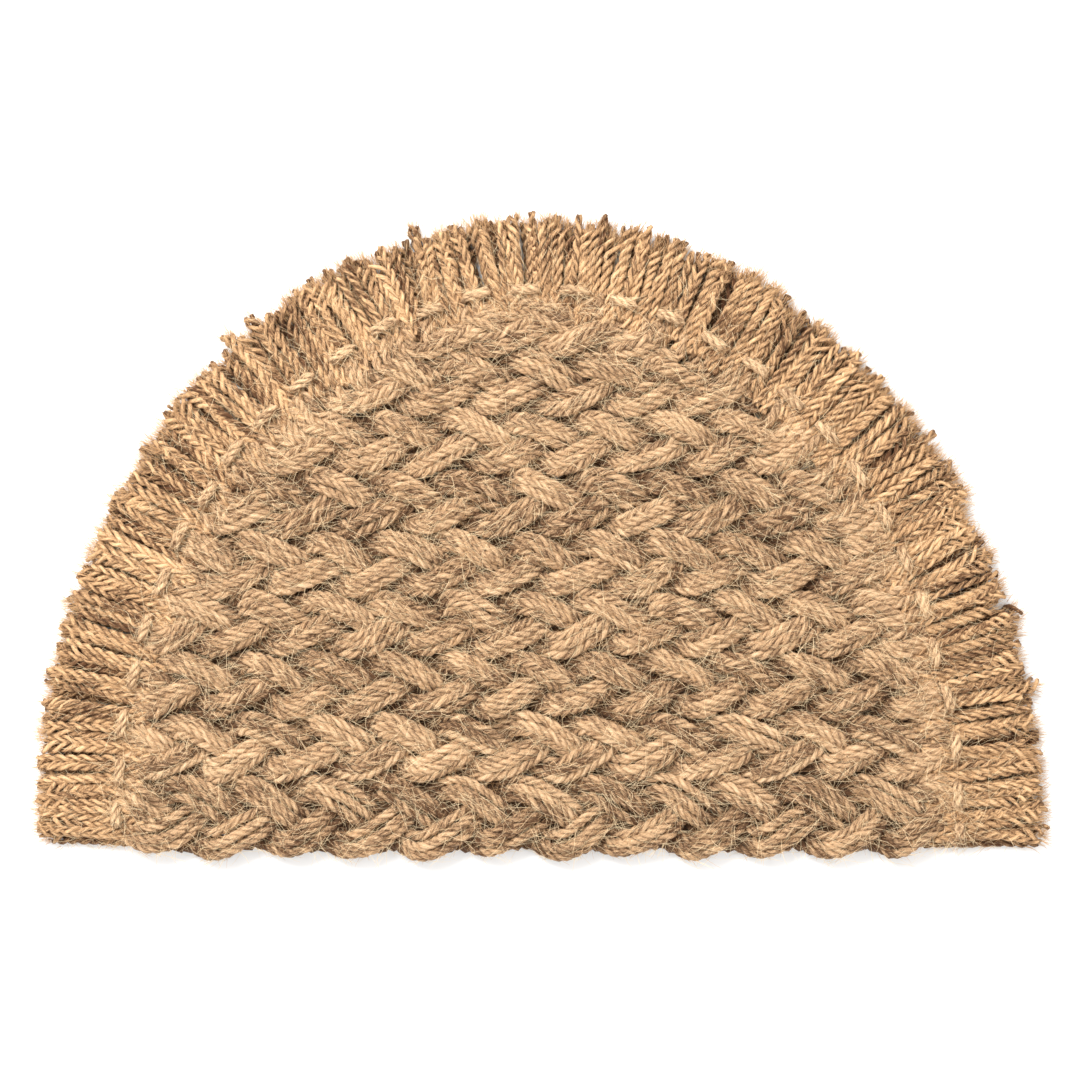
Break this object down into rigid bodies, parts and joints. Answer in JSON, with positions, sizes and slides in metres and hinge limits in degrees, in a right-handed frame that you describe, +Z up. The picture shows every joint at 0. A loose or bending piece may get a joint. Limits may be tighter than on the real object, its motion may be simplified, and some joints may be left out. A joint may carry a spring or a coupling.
{
  "type": "door mat",
  "caption": "Half-moon door mat of plaited jute rope with a fringe of cut rope ends round its curved edge.",
  "frame": {"origin": "middle of the bounding box at floor level, under the middle of the mat", "axes": "+X along the straight edge, +Y from the straight edge to the crown of the curve, +Z up"},
  "size_m": [0.7002, 0.444, 0.022],
  "materials": {
    "jute_rope": "matte, coarse twisted natural fibre",
    "jute_fringe": "matte, frayed twisted natural fibre",
    "jute_twine": "matte, pale twisted twine"
  },
  "bodies": {
    "root": {"plait_1_strand_a": "jute_rope", "plait_1_strand_b": "jute_rope", "plait_1_strand_c": "jute_rope", "plait_2_strand_a": "jute_rope", "plait_2_strand_b": "jute_rope", "plait_2_strand_c": "jute_rope", "plait_3_strand_a": "jute_rope", "plait_3_strand_b": "jute_rope", "plait_3_strand_c": "jute_rope", "plait_4_strand_a": "jute_rope", "plait_4_strand_b": "jute_rope", "plait_4_strand_c": "jute_rope", "plait_5_strand_a": "jute_rope", "plait_5_strand_b": "jute_rope", "plait_5_strand_c": "jute_rope", "plait_6_strand_a": "jute_rope", "plait_6_strand_b": "jute_rope", "plait_6_strand_c": "jute_rope", "plait_7_strand_a": "jute_rope", "plait_7_strand_b": "jute_rope", "plait_7_strand_c": "jute_rope", "plait_8_strand_a": "jute_rope", "plait_8_strand_b": "jute_rope", "plait_8_strand_c": "jute_rope", "plait_9_strand_a": "jute_rope", "plait_9_strand_b": "jute_rope", "plait_9_strand_c": "jute_rope", "seam_cord_1_2": "jute_twine", "seam_cord_2_3": "jute_twine", "seam_cord_3_4": "jute_twine", "seam_cord_4_5": "jute_twine", "seam_cord_5_6": "jute_twine", "seam_cord_6_7": "jute_twine", "seam_cord_7_8": "jute_twine", "seam_cord_8_9": "jute_twine", "fringe_lower_right_side": "jute_fringe", "fringe_lower_right_shoulder": "jute_fringe", "fringe_lower_right_crown": "jute_fringe", "fringe_lower_left_side": "jute_fringe", "fringe_lower_left_shoulder": "jute_fringe", "fringe_lower_left_crown": "jute_fringe", "fringe_upper_right_side": "jute_fringe", "fringe_upper_right_shoulder": "jute_fringe", "fringe_upper_right_crown": "jute_fringe", "fringe_upper_left_side": "jute_fringe", "fringe_upper_left_shoulder": "jute_fringe", "fringe_upper_left_crown": "jute_fringe", "binding_cord": "jute_twine"}
  },
  "joints": []
}
